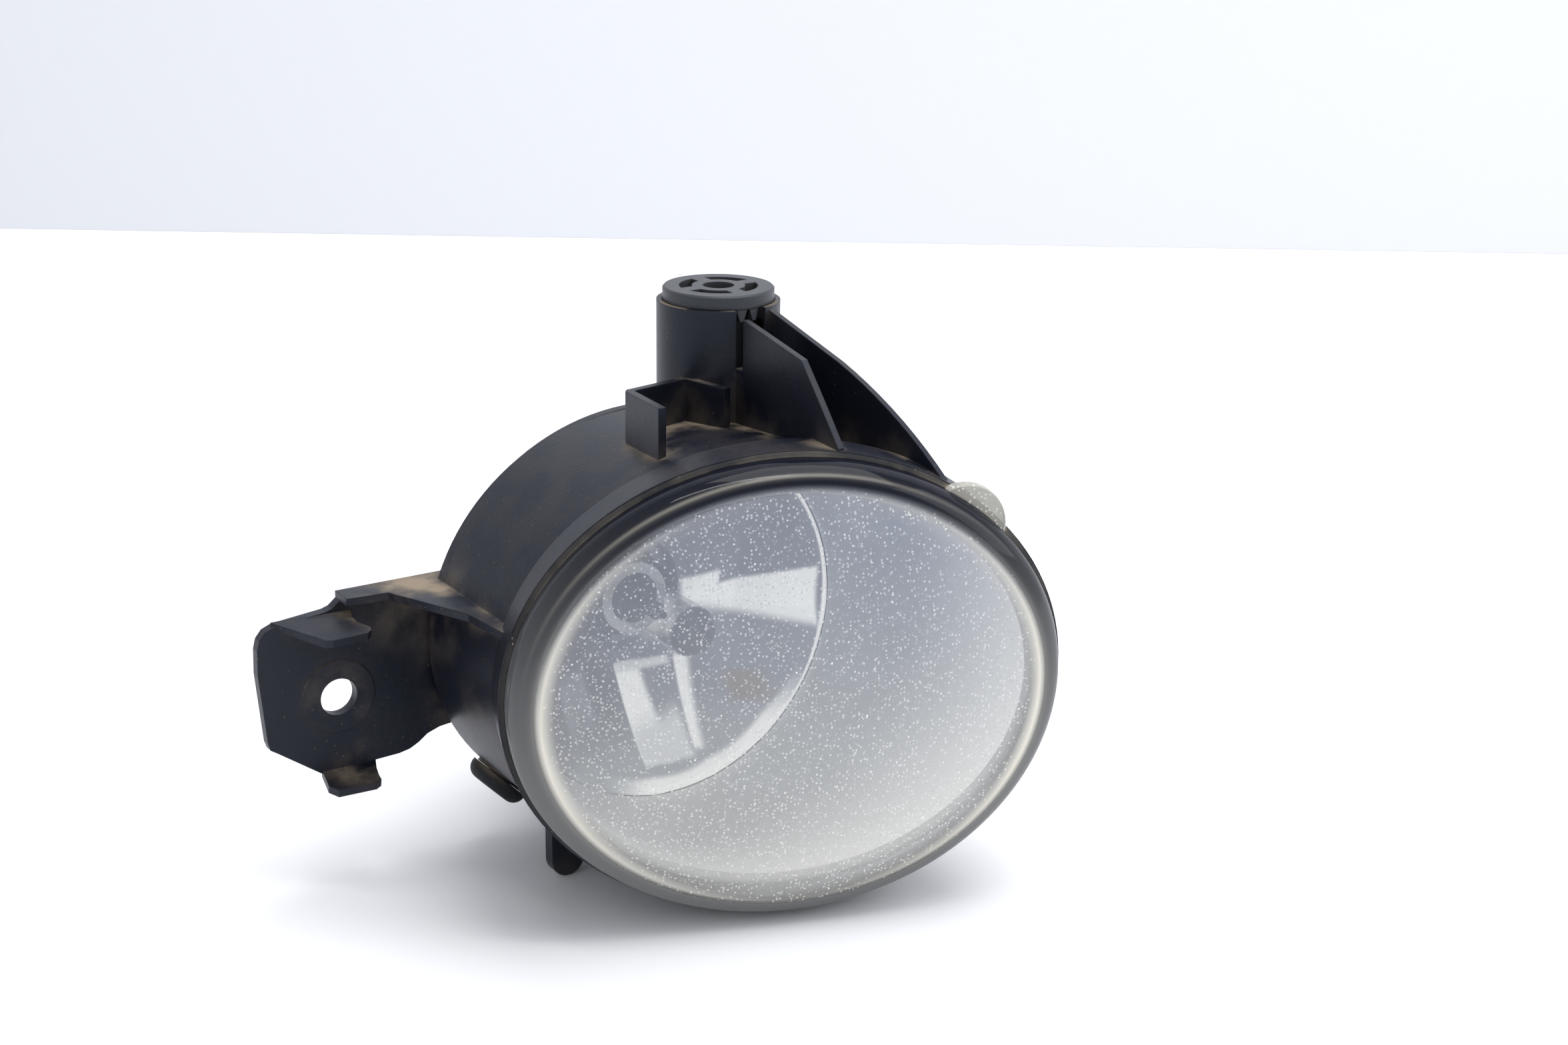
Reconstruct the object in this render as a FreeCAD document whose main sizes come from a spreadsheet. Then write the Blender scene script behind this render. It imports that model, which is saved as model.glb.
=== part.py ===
# Oval halogen fog light: one moulded housing with a screw ear and a height adjuster, a clear
# crowned lens, a bezel, a parabolic reflector and a twist-in bulb.
#
# Lamp axes: X to the lamp's right seen from in front, Y backwards along the light's axis, Z up.
# The lamp's own reference point is where the light's axis meets the flange face, and the lens and
# flange are swept: turned about Z through that point. Everything is drawn about that point and
# then set down by the lamp_x, lamp_y and lamp_z cells, so that the base of the part's box is at 0.
import FreeCAD, Part
import math
import os

import Sketcher

doc = FreeCAD.newDocument("fog_light")
dims = doc.addObject("Spreadsheet::Sheet", "Dims")

DRIVING = [
    # where the lamp's reference point stands in the part's frame
    ("lamp_x", 15.55), ("lamp_y", -35.39), ("lamp_z", 51.9),
    # swept oval flange and lens
    ("sweep", 20), ("flange_a", 60.9), ("flange_b", 51.9), ("skirt_depth", 9),
    ("lens_a", 59.6), ("lens_b", 50.6), ("lens_wall", 2.4), ("lens_depth", 14.5),
    ("lens_crown", 190), ("lens_edge", 7), ("lens_tail", 3.4), ("seat_gap", 0.25),
    ("tab_x", 37.2), ("tab_z", 33.8), ("tab_radius", 9.3), ("tab_thick", 2.6),
    # barrel
    ("barrel_a", 59.2), ("barrel_b", 50.2), ("rear_a", 51.9), ("rear_b", 47.5), ("rear_y", 63),
    ("rear_x", -0.8), ("rear_z", -0.7), ("back_y", 68), ("cavity_a", 55.6), ("cavity_b", 46.6),
    ("mouth_a", 55.4), ("mouth_b", 46.1), ("wall", 2.5), ("groove_depth", 5.2),
    # rear dome and bulb port
    ("dome_y", 75.5), ("port_radius", 16.2), ("port_end", 80), ("seal_bore", 12.9),
    ("collar_bore", 10.9), ("collar_front", 72.1), ("slot_radius", 13.2), ("slot_width", 7),
    # adjuster post and its screwdriver guide
    ("post_x", 13.1), ("post_y", 48.4), ("post_radius", 13.75), ("post_wall", 1.2),
    ("post_top", 72.8), ("post_floor", 56), ("post_base", 40), ("guide_half", 3.7), ("rib", 1.5),
    ("slit_floor", 60),
    # adjuster wheel
    ("wheel_radius", 12.4), ("wheel_top", 75.8), ("collar_height", 3.2), ("tooth_depth", 2.6),
    ("tooth_ring", 9.8), ("hub_radius", 5.5), ("stud_radius", 3.5), ("window_radius", 8.75),
    ("window_inner", 5.9), ("spoke", 3.2), ("teeth", 24),
    # ear, shelf and pegs
    ("ear_front", 64.9), ("ear_thick", 2.5), ("ear_hole", 4.2), ("hole_x", -73.6), ("hole_z", -9.1),
    ("shelf_thick", 1.8), ("clip_wall", 1.8), ("clip_top", 57.6),
    ("peg_x", -32.2), ("peg_y", 38.1), ("peg_width", 8), ("peg_thick", 3.2),
    ("keel_x", 6), ("keel_thick", 2.5), ("vent_y", 62), ("vent_angle", 224.4),
    ("vent_radius", 7.3), ("spigot_radius", 3), ("vent_reach", 55), ("vent_base", 51.6),
    # bezel and reflector
    ("bezel_a", 54), ("bezel_b", 44.4), ("bezel_wall", 1.2), ("throat", 42.4), ("lip_a", 56.4),
    ("lip_b", 47), ("lip_thick", 1.2), ("filament_y", 52.6), ("bowl_radius", 42.1),
    ("bowl_front", 45.5), ("bowl_hole", 14.2), ("bowl_wall", 1.5), ("lug_y", 58), ("lug_reach", 38.5),
    ("lug_radius", 3), ("lug_thick", 2.6),
    ("screw_radius", 1.4), ("screw_length", 7), ("head_radius", 2.2), ("head_thick", 1.5),
    # bulb
    ("tip_y", 33.6), ("glass_radius", 6), ("glass_wall", 1), ("coating", 0.15), ("coat_end", 43),
    ("glass_end", 66), ("neck_radius", 10.6), ("neck_front", 68.4), ("key_radius", 12.8),
    ("key_width", 6), ("flange_radius", 15.5), ("flange_front", 80.2), ("flange_thick", 2.2),
    ("ring_centre", 11.85), ("ring_thick", 0.95), ("ring_y", 78.2), ("body_radius", 11.5),
    ("body_end", 96), ("plug_half", 9), ("plug_end", -34), ("plug_wall", 2), ("pin_end", -27),
    ("coil_radius", 0.8), ("coil_length", 4.8), ("coil_pitch", 0.6), ("wire", 0.2), ("lead", 0.45),
    ("cup_radius", 8.6), ("cup_front", 63.5),
]
for row, (alias, value) in enumerate(DRIVING, start=1):
    dims.set(f"A{row}", alias)
    dims.set(f"B{row}", str(value))
    dims.setAlias(f"B{row}", alias)
doc.recompute()

UPRIGHT = FreeCAD.Rotation(FreeCAD.Vector(1, 0, 0), 90)  # a flat outline stood up, facing forwards
SCREW_ANGLES = (10, 130, 250)  # the reflector's screws, round the light's axis
nodes = []


def number(expression):
    """The value of a sheet expression now."""
    return float(dims.evalExpression(expression))


def swept():
    """The rotation of the lens and flange."""
    return FreeCAD.Rotation(FreeCAD.Vector(0, 0, 1), -number("Dims.sweep"))


def add(kind, name, rotation=None, **expressions):
    """A document object with its properties bound; x, y and z bind where it stands."""
    thing = doc.addObject(kind, name)
    if rotation is not None:
        thing.Placement = FreeCAD.Placement(FreeCAD.Vector(), rotation)
    for key, expression in expressions.items():
        target = f"Placement.Base.{key}" if key in ("x", "y", "z") else key
        thing.setExpression(target, str(expression))
    return thing


def fuse(name, pieces):
    joined = doc.addObject("Part::MultiFuse", name)
    joined.Shapes = pieces
    return joined


def cut(name, base, tools):
    """The base less every tool."""
    result = doc.addObject("Part::Cut", name)
    result.Base = base
    result.Tool = tools[0] if len(tools) == 1 else fuse(name + "_tools", tools)
    return result


def node(thing, label, rotation=None):
    """Sets a finished sub-part down in the part's frame under its own label."""
    thing.Label = label
    thing.Placement = FreeCAD.Placement(FreeCAD.Vector(), rotation or FreeCAD.Rotation())
    for key in "xyz":
        thing.setExpression(f"Placement.Base.{key}", f"Dims.lamp_{key}")
    nodes.append(thing)
    return thing


def oval(name, semi_a, semi_b, front, back):
    """A solid oval about the swept axis, between two depths ahead of the flange face."""
    outline = add("Part::Ellipse", name + "_outline", MajorRadius=semi_a, MinorRadius=semi_b)
    outline.Placement = FreeCAD.Placement(FreeCAD.Vector(), swept() * UPRIGHT)
    solid = add("Part::Extrusion", name, LengthFwd=front, LengthRev=f"-({back})")
    solid.Base = outline
    solid.DirMode = "Custom"
    solid.Dir = swept().multVec(FreeCAD.Vector(0, -1, 0))
    solid.Solid = True
    return solid


def barrel(name, semi_a, semi_b, depth, rear_a, rear_b, back):
    """A loft from an oval on the swept face to an upright oval further back."""
    front = add("Part::Ellipse", name + "_front", MajorRadius=semi_a, MinorRadius=semi_b,
                x=f"sin(Dims.sweep) * ({depth})", y=f"cos(Dims.sweep) * ({depth})")
    front.Placement.Rotation = swept() * UPRIGHT
    rear = add("Part::Ellipse", name + "_rear", UPRIGHT, MajorRadius=rear_a, MinorRadius=rear_b,
               x="Dims.rear_x", y=back, z="Dims.rear_z")
    loft = doc.addObject("Part::Loft", name)
    loft.Sections = [front, rear]
    loft.Solid = True
    loft.Ruled = True
    return loft


def rear_dome(name, corners):
    """A dome turned from (height, depth) corners, widened and set to the barrel's rear oval."""
    body = turned(name + "_round", corners)
    body.setExpression("Placement.Base.x", "Dims.rear_x * Dims.rear_b / Dims.rear_a")
    body.setExpression("Placement.Base.z", "Dims.rear_z")
    return widened(name, body, "Dims.rear_a / Dims.rear_b")


def widened(name, base, ratio):
    """A round piece stretched across."""
    scale = doc.addObject("Part::Scale", name)
    scale.Base = base
    scale.Uniform = False
    scale.setExpression("XScale", ratio)
    scale.YScale = scale.ZScale = 1
    return scale


def disc(name, radius, front, back, **place):
    """A cylinder along the light's axis from one depth to another."""
    place["y"] = back
    return add("Part::Cylinder", name, UPRIGHT, Radius=radius, Height=f"({back}) - ({front})", **place)


def plane(body, role):
    return next(o for o in body.Origin.OriginFeatures if o.Role == role)


def sketch_on(body, name, role, offset="0"):
    """A sketch on one of the body's own origin planes, moved along its normal."""
    sketch = body.newObject("Sketcher::SketchObject", name)
    sketch.AttachmentSupport = [(plane(body, role), "")]
    sketch.MapMode = "FlatFace"
    sketch.setExpression("AttachmentOffset.Base.z", offset)
    return sketch


def outline(sketch, corners):
    """A closed outline through corners given as pairs of sheet expressions."""
    values = [(number(x), number(y)) for x, y in corners]
    for index, start in enumerate(values):
        end = values[(index + 1) % len(values)]
        sketch.addGeometry(Part.LineSegment(FreeCAD.Vector(*start, 0), FreeCAD.Vector(*end, 0)), False)
    for index, pair in enumerate(corners):
        previous = (index - 1) % len(corners)
        sketch.addConstraint(Sketcher.Constraint("Coincident", previous, 2, index, 1))
        for kind, axis, value, expression in (
            ("DistanceX", -2, values[index][0], pair[0]), ("DistanceY", -1, values[index][1], pair[1]),
        ):
            if abs(value) < 1e-9:
                sketch.addConstraint(Sketcher.Constraint("PointOnObject", index, 1, axis))
                continue
            number_of = sketch.addConstraint(Sketcher.Constraint(kind, -1, 1, index, 1, value))
            sketch.setExpression(f"Constraints[{number_of}]", expression)


def turned(name, corners):
    """A body turned about the light's axis from an outline of (radius, depth) corners."""
    body = doc.addObject("PartDesign::Body", name)
    sketch = sketch_on(body, name + "_section", "XY_Plane")
    outline(sketch, corners)
    turn = body.newObject("PartDesign::Revolution", name + "_turn")
    turn.Profile = sketch
    turn.ReferenceAxis = (sketch, ["V_Axis"])
    turn.Angle = 360
    body.Tip = turn
    return body


def plate(name, role, corners, thickness, offset="0", both_ways=False):
    """A body padded from an outline on an origin plane."""
    body = doc.addObject("PartDesign::Body", name)
    sketch = sketch_on(body, name + "_outline", role, offset)
    outline(sketch, corners)
    pad = body.newObject("PartDesign::Pad", name + "_pad")
    pad.Profile = sketch
    pad.Midplane = both_ways
    pad.setExpression("Length", thickness)
    body.Tip = pad
    return body


def shaped(name, shape):
    """A feature whose shape is made in code from the sheet's values."""
    feature = doc.addObject("Part::Feature", name)
    feature.Shape = shape
    return feature


def wall_between(name, start, end, low, high, thickness):
    """An upright wall over the line from one (x, y) point to another."""
    run = FreeCAD.Vector(end[0] - start[0], end[1] - start[1], 0)
    box = doc.addObject("Part::Box", name)
    box.setExpression("Width", thickness)
    box.setExpression("Height", f"({high}) - ({low})")
    box.Length = run.Length
    turn = FreeCAD.Rotation(FreeCAD.Vector(1, 0, 0), run)
    side = turn.multVec(FreeCAD.Vector(0, number(thickness) / 2, 0))
    box.Placement = FreeCAD.Placement(FreeCAD.Vector(start[0], start[1], number(low)) - side, turn)
    return box


def guide_rib(name, foot, turn_degrees, crest, toe, reach, bulge):
    """An upright rib beside the screwdriver guide: down from the post to the flange."""
    post_top = number("Dims.post_top")
    start = FreeCAD.Vector(0, 0, post_top - 0.8)
    corner = FreeCAD.Vector(crest[0], 0, crest[1])
    end = FreeCAD.Vector(toe[0], 0, toe[1])
    low = FreeCAD.Vector(reach[0], 0, reach[1])
    back = FreeCAD.Vector(0, 0, 44)
    middle = (corner + end) * 0.5
    outward = FreeCAD.Vector(0, 1, 0).cross(end - corner).normalize()
    if outward.z < 0:
        outward = -outward
    edges = [
        Part.LineSegment(start, corner).toShape(),
        Part.Arc(corner, middle + outward * bulge, end).toShape(),
        Part.LineSegment(end, low).toShape(),
        Part.LineSegment(low, back).toShape(),
        Part.LineSegment(back, start).toShape(),
    ]
    thickness = number("Dims.rib")
    solid = Part.Face(Part.Wire(edges)).extrude(FreeCAD.Vector(0, thickness, 0))
    rib = shaped(name, solid)
    turn = FreeCAD.Rotation(FreeCAD.Vector(0, 0, 1), turn_degrees)
    rib.Placement = FreeCAD.Placement(FreeCAD.Vector(foot[0], foot[1], 0), turn)
    return rib


def pairs(points):
    """Plain points as outline corners."""
    return [(str(x), str(y)) for x, y in points]


# ---------------------------------------------------------------- housing

def post_parts():
    """The sleeve that the adjuster wheel turns in, on top of the barrel."""
    place = {"x": "Dims.post_x", "y": "Dims.post_y"}
    outer = add("Part::Cylinder", "post", Radius="Dims.post_radius", z="Dims.post_base",
                Height="Dims.post_top - Dims.post_base", **place)
    bore = add("Part::Cylinder", "post_bore", Radius="Dims.post_radius - Dims.post_wall",
               Height="30", z="Dims.post_floor", **place)
    slit = add("Part::Box", "post_slit", Length="2 * Dims.guide_half", Width="Dims.post_radius + 2",
               Height="30", x="Dims.post_x - Dims.guide_half",
               y="Dims.post_y - Dims.post_radius - 2", z="Dims.slit_floor")
    return outer, [bore, slit]


def guide_parts():
    """The ribs that lead a screwdriver to the wheel: straight on the left, splayed on the right."""
    post_x, post_y, half = number("Dims.post_x"), number("Dims.post_y"), number("Dims.guide_half")
    reach = math.sqrt(number("Dims.post_radius") ** 2 - half ** 2) - 0.6
    left = guide_rib("guide_rib_left", (post_x - half, post_y - reach), -90,
                     (25.4, 67.3), (39.3, 51.6), (37.5, 47), 0.1)
    right = guide_rib("guide_rib_right", (post_x + half + 1.5, post_y - reach), -90 + 15.7,
                      (19.6, 63.7), (48.3, 43.2), (46.5, 39), 1.5)
    return [left, right]


def clip_parts():
    """The open U of thin walls on top of the barrel, which holds the lead's clip."""
    back_left, back_right = (-15.1, 39.3), (1.1, 42.6)
    right_front, left_front = (4.0, 30.2), (-16.3, 23.5)
    runs = (("back", back_left, back_right), ("right", back_right, right_front),
            ("left", left_front, back_left))
    return [wall_between("clip_" + side, start, end, "44", "Dims.clip_top", "Dims.clip_wall")
            for side, start, end in runs]


def ear_parts():
    """The screw ear: an upright plate with lips, braced by a level shelf to the barrel."""
    face = [(-91.2, 5), (-90.6, 7.2), (-89.2, 8.9), (-87, 9.8), (-75.6, 10.9), (-74, 11.4), (-72.2, 12.9),
            (-44, 14.4), (-40, -20), (-46, -21.2), (-50, -21.6), (-53, -22.6), (-55.2, -24.2),
            (-57.4, -25.3), (-60, -25.8), (-65.8, -26), (-78, -26.6), (-88, -19.3), (-89.6, -18.2),
            (-90.1, -16.6), (-91.4, -0.6)]
    ear = plate("ear_plate", "XZ_Plane", pairs(face), "Dims.ear_thick",
                offset="-Dims.ear_front - Dims.ear_thick")
    shelf_plan = [(-72.2, 64), (-72.2, 61.2), (-63, 60.4), (-54.2, 39.4), (-53, 26), (-44, 24),
                  (-40, 67.4), (-58, 67.4), (-72.2, 67.4)]
    shelf = plate("ear_shelf", "XY_Plane", pairs(shelf_plan), "Dims.shelf_thick", offset="12.6")
    flap_plan = [(-87.6, 1), (-87, 0), (-79.9, -10.4), (-78.4, -10.9), (-70.4, -10.6), (-69.2, -9.6),
                 (-69, -8.4), (-70.6, -5.6), (-70.9, -3), (-69.6, 0), (-69.6, 1)]
    tab_plan = [(-77.9, 1), (-78.1, 0), (-79, -5.4), (-77.6, -7.8), (-69, -8.2), (-67.6, -7.4), (-67.4, -5.6),
                (-66.8, -3), (-65.7, 0), (-65.7, 1)]
    folds = []
    for name, plan, level, slope in (("ear_flap", flap_plan, 10.4, 10), ("ear_tab", tab_plan, -26, 11)):
        fold = plate(name, "XY_Plane", pairs(plan), "Dims.shelf_thick", offset="-Dims.shelf_thick")
        fold.Placement = FreeCAD.Placement(FreeCAD.Vector(0, number("Dims.ear_front"), level),
                                           FreeCAD.Rotation(FreeCAD.Vector(1, 0, 0), slope))
        folds.append(fold)
    pad = add("Part::Cylinder", "ear_pad", UPRIGHT, Radius="8.4", Height="0.4", x="Dims.hole_x",
              y="Dims.ear_front + 0.1", z="Dims.hole_z")
    return [ear, shelf, *folds, pad]


def peg_parts():
    """What the lamp stands on besides its flange: a round-ended peg and a keel."""
    peg_box = add("Part::Box", "peg_blade", Length="Dims.peg_width", Width="Dims.peg_thick",
                  Height="18 - Dims.peg_width / 2", x="Dims.peg_x - Dims.peg_width / 2",
                  y="Dims.peg_y", z="-Dims.flange_b + Dims.peg_width / 2")
    peg_end = add("Part::Cylinder", "peg_end", UPRIGHT, Radius="Dims.peg_width / 2",
                  Height="Dims.peg_thick", x="Dims.peg_x", y="Dims.peg_y + Dims.peg_thick",
                  z="-Dims.flange_b + Dims.peg_width / 2")
    keel_side = [("12", "-48"), ("Dims.rear_y - 1", "-46"), ("Dims.rear_y - 1", "-Dims.flange_b"),
                 ("46", "-Dims.flange_b"), ("20", "-49.8")]
    keel = plate("keel", "YZ_Plane", keel_side, "Dims.keel_thick", offset="Dims.keel_x",
                 both_ways=True)
    return [peg_box, peg_end, keel]


def at_vent(radius):
    """A point on the vent's own line, at a radius from the light's axis."""
    return {"x": f"({radius}) * cos(Dims.vent_angle)", "y": "Dims.vent_y",
            "z": f"({radius}) * sin(Dims.vent_angle)"}


def vent_turn():
    """Turns +Z to the vent's outward direction."""
    return FreeCAD.Rotation(FreeCAD.Vector(0, 1, 0), 90 - number("Dims.vent_angle"))


def housing():
    skirt = oval("skirt", "Dims.flange_a", "Dims.flange_b", "0", "-Dims.skirt_depth")
    shell = barrel("barrel_outer", "Dims.barrel_a", "Dims.barrel_b", "Dims.skirt_depth - 0.5",
                   "Dims.rear_a", "Dims.rear_b", "Dims.rear_y")
    dome = rear_dome("dome", [
        ("0", "Dims.rear_y - 2"), ("Dims.rear_b - 0.4", "Dims.rear_y - 2"),
        ("Dims.rear_b - 0.4", "Dims.rear_y + 0.4"), ("Dims.rear_b - 2", "Dims.rear_y + 2.8"),
        ("Dims.rear_b - 7", "Dims.back_y"), ("Dims.port_radius + 2", "Dims.dome_y"),
        ("0", "Dims.dome_y"),
    ])
    port = disc("port", "Dims.port_radius", "Dims.back_y", "Dims.port_end")
    cavity = barrel("barrel_inner", "Dims.cavity_a", "Dims.cavity_b", "Dims.skirt_depth - 0.5",
                    "Dims.rear_a - Dims.wall", "Dims.rear_b - Dims.wall", "Dims.rear_y - 0.8")
    mouth = oval("mouth", "Dims.mouth_a", "Dims.mouth_b", "1", "-Dims.skirt_depth")
    hollow = rear_dome("hollow", [
        ("0", "Dims.rear_y - 2"), ("Dims.rear_b - Dims.wall - 0.4", "Dims.rear_y - 2"),
        ("Dims.rear_b - Dims.wall - 0.4", "Dims.rear_y - 0.4"),
        ("Dims.rear_b - Dims.wall - 2", "Dims.rear_y + 1.4"),
        ("Dims.rear_b - Dims.wall - 7", "Dims.back_y - Dims.wall"),
        ("Dims.port_radius + 1", "Dims.collar_front"), ("0", "Dims.collar_front"),
    ])
    post, post_cuts = post_parts()
    groove = cut("groove", oval("groove_outer", "Dims.lens_a + Dims.seat_gap",
                                "Dims.lens_b + Dims.seat_gap", "1", "-Dims.groove_depth"),
                 [oval("groove_inner", "Dims.lens_a - 1.2 * Dims.lens_wall - Dims.seat_gap",
                       "Dims.lens_b - Dims.lens_wall - Dims.seat_gap", "2", "-Dims.groove_depth - 1")])
    collar_hole = disc("collar_hole", "Dims.collar_bore", "60", "Dims.port_end + 1")
    seal_hole = disc("seal_hole", "Dims.seal_bore", "Dims.dome_y", "Dims.port_end + 1")
    slots = [add("Part::Box", f"bayonet_slot_{turn}",
                 UPRIGHT.multiply(FreeCAD.Rotation(FreeCAD.Vector(0, 0, 1), turn)),
                 Length="Dims.slot_radius", Width="Dims.slot_width", Height="6")
             for turn in (45, 165, 285)]
    for turn, slot in zip((45, 165, 285), slots):
        slot.setExpression("Placement.Base.x", f"sin({turn}) * Dims.slot_width / 2")
        slot.setExpression("Placement.Base.y", "Dims.dome_y + 0.5")
        slot.setExpression("Placement.Base.z", f"-cos({turn}) * Dims.slot_width / 2")
    ear_hole = disc("ear_hole", "Dims.ear_hole", "Dims.ear_front - 2", "Dims.ear_front + 6",
                    x="Dims.hole_x", z="Dims.hole_z")
    spigot = add("Part::Cylinder", "vent_spigot", vent_turn(), Radius="Dims.spigot_radius",
                 Height="6", **at_vent("Dims.vent_reach - 8.4"))
    vent_boss = add("Part::Cylinder", "vent_boss", vent_turn(), Radius="Dims.vent_radius - 0.9",
                    Height="4.5", **at_vent("Dims.vent_base - 4.6"))
    vent_hole = add("Part::Cylinder", "vent_hole", vent_turn(), Radius="Dims.spigot_radius / 2",
                    Height="14", **at_vent("Dims.vent_reach - 14"))
    bosses, pilots = [], []
    for index, angle in enumerate(SCREW_ANGLES, start=1):
        where = screw_place(angle)
        bosses.append(disc(f"boss_{index}", "Dims.lug_radius", "Dims.lug_y + Dims.lug_thick",
                           "Dims.back_y - 1.5", **where))
        pilots.append(disc(f"pilot_{index}", "Dims.screw_radius + 0.05", "Dims.lug_y",
                           "Dims.lug_y + Dims.screw_length + 1", **where))
    outside = fuse("outside", [skirt, shell, dome, port, post, spigot, vent_boss, *guide_parts(),
                               *clip_parts(), *ear_parts(), *peg_parts()])
    hollowed = cut("hollowed", outside, [cavity, mouth, hollow, groove, *post_cuts, ear_hole])
    fitted = fuse("fitted", [hollowed, *bosses])
    whole = cut("housing", fitted, [collar_hole, seal_hole, vent_hole, *slots, *pilots])
    return node(whole, "housing")


# ---------------------------------------------------------------- lens and what it covers

def crowned(name, radius, crown, depth, edge, tail):
    """A round crowned cap, open end at the tail, with its front edge rounded."""
    side = add("Part::Cylinder", name + "_side", UPRIGHT, Radius=radius, Height="40", y=tail)
    ball = add("Part::Sphere", name + "_ball", Radius=crown, y=f"({crown}) - ({depth})")
    cap = doc.addObject("Part::Common", name + "_cap")
    cap.Base, cap.Tool = side, ball
    doc.recompute()
    edges = cap.Shape.Edges
    front = min(range(len(edges)),
                key=lambda i: (round(edges[i].BoundBox.YLength, 3), edges[i].CenterOfMass.y))
    rounded = doc.addObject("Part::Fillet", name)
    rounded.Base = cap
    rounded.Edges = [(front + 1, number(edge), number(edge))]
    return rounded


def lens():
    stretch = "Dims.lens_a / Dims.lens_b"
    outer = widened("lens_outer", crowned("lens_outer_round", "Dims.lens_b", "Dims.lens_crown",
                                          "Dims.lens_depth", "Dims.lens_edge", "Dims.lens_tail"), stretch)
    inner = widened("lens_inner", crowned(
        "lens_inner_round", "Dims.lens_b - Dims.lens_wall", "Dims.lens_crown - Dims.lens_wall",
        "Dims.lens_depth - Dims.lens_wall", "Dims.lens_edge - Dims.lens_wall", "Dims.lens_tail + 1"), stretch)
    tab = add("Part::Cylinder", "gate_tab", UPRIGHT, Radius="Dims.tab_radius",
              Height="Dims.tab_thick", x="Dims.tab_x", y="-0.1", z="Dims.tab_z")
    return node(cut("lens", fuse("lens_and_tab", [outer, tab]), [inner]), "lens", swept())


def lens_seal():
    ring = cut("lens_seal", oval("seal_outer", "Dims.lens_a", "Dims.lens_b",
                                 "-Dims.lens_tail - 0.02", "-Dims.groove_depth + 0.02"),
               [oval("seal_inner", "Dims.lens_a - 1.2 * Dims.lens_wall", "Dims.lens_b - Dims.lens_wall",
                     "0", "-Dims.groove_depth - 1")])
    return node(ring, "lens_seal")


def funnel(name, size, ahead, radius, back):
    """A loft from an oval ahead of the flange face to the round throat in front of the bowl."""
    front = add("Part::Ellipse", name + "_front", MajorRadius=f"Dims.bezel_a - {size}",
                MinorRadius=f"Dims.bezel_b - {size}", x=f"-sin(Dims.sweep) * {ahead}",
                y=f"-cos(Dims.sweep) * {ahead}")
    front.Placement.Rotation = swept() * UPRIGHT
    rear = add("Part::Circle", name + "_rear", UPRIGHT, Radius=radius, y=back)
    loft = doc.addObject("Part::Loft", name)
    loft.Sections = [front, rear]
    loft.Solid = True
    loft.Ruled = True
    return loft


def bezel():
    outer = funnel("bezel_outer", "0", 0.6, "Dims.throat + Dims.bezel_wall", "Dims.bowl_front - 0.3")
    lip = oval("bezel_lip", "Dims.lip_a", "Dims.lip_b", "0.1 + Dims.lip_thick", "0.1")
    bore = funnel("bezel_inner", "Dims.bezel_wall", 1.6, "Dims.throat", "Dims.bowl_front - 0.2")
    return node(cut("bezel", fuse("bezel_solid", [outer, lip]), [bore]), "bezel")


def parabola(offset):
    """The bowl's section: (radius, depth) points of a parabola about the filament, moved out."""
    rim, hole, lamp = number("Dims.bowl_radius"), number("Dims.bowl_hole"), number("Dims.filament_y")
    gap = lamp - number("Dims.bowl_front")
    focal = (math.hypot(gap, rim) - gap) / 2
    points = []
    for step in range(17):
        radius = hole + (rim - hole) * step / 16
        slope = radius / (2 * focal)
        run = math.hypot(1, slope)
        depth = lamp + focal - radius * radius / (4 * focal)
        points.append(FreeCAD.Vector(radius + offset * slope / run, depth + offset / run, 0))
    return points


def screw_place(angle):
    """Where a reflector screw stands, round the light's axis."""
    return {"x": f"Dims.lug_reach * cos({angle})", "z": f"Dims.lug_reach * sin({angle})"}


def reflector():
    inner, outer = parabola(0), parabola(number("Dims.bowl_wall"))
    curves = []
    for points in (inner, outer):
        curve = Part.BSplineCurve()
        curve.interpolate(points)
        curves.append(curve.toShape())
    ends = [Part.LineSegment(inner[0], outer[0]).toShape(), Part.LineSegment(inner[-1], outer[-1]).toShape()]
    section = Part.Face(Part.Wire(Part.sortEdges([*curves, *ends])[0]))
    bowl = shaped("bowl", section.revolve(FreeCAD.Vector(), FreeCAD.Vector(0, 1, 0), 360))
    arms, holes = [], []
    for index, angle in enumerate(SCREW_ANGLES, start=1):
        where = screw_place(angle)
        lug = disc(f"lug_{index}", "Dims.lug_radius", "Dims.lug_y", "Dims.lug_y + Dims.lug_thick", **where)
        arm = add("Part::Box", f"arm_{index}", Length="Dims.lug_reach", Width="Dims.lug_thick", Height="5")
        turn = FreeCAD.Rotation(FreeCAD.Vector(0, 1, 0), -angle)
        corner = turn.multVec(FreeCAD.Vector(0, 0, -2.5))
        arm.Placement = FreeCAD.Placement(corner + FreeCAD.Vector(0, number("Dims.lug_y"), 0), turn)
        arms += [lug, arm]
        holes.append(disc(f"lug_hole_{index}", "Dims.screw_radius + 0.1", "Dims.lug_y - 1",
                          "Dims.lug_y + 5", **where))
    deep = inner[0].y + 6
    inside = shaped("bowl_inside", Part.Face(Part.Wire([
        Part.LineSegment(FreeCAD.Vector(0, deep, 0), FreeCAD.Vector(inner[0].x, deep, 0)).toShape(),
        Part.LineSegment(FreeCAD.Vector(inner[0].x, deep, 0), inner[0]).toShape(),
        curves[0],
        Part.LineSegment(inner[-1], FreeCAD.Vector(0, inner[-1].y, 0)).toShape(),
        Part.LineSegment(FreeCAD.Vector(0, inner[-1].y, 0), FreeCAD.Vector(0, deep, 0)).toShape(),
    ])).revolve(FreeCAD.Vector(), FreeCAD.Vector(0, 1, 0), 360))
    spokes = cut("reflector_arms", fuse("reflector_arms_solid", arms), [inside, *holes])
    return node(fuse("reflector", [bowl, spokes]), "reflector")


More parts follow.
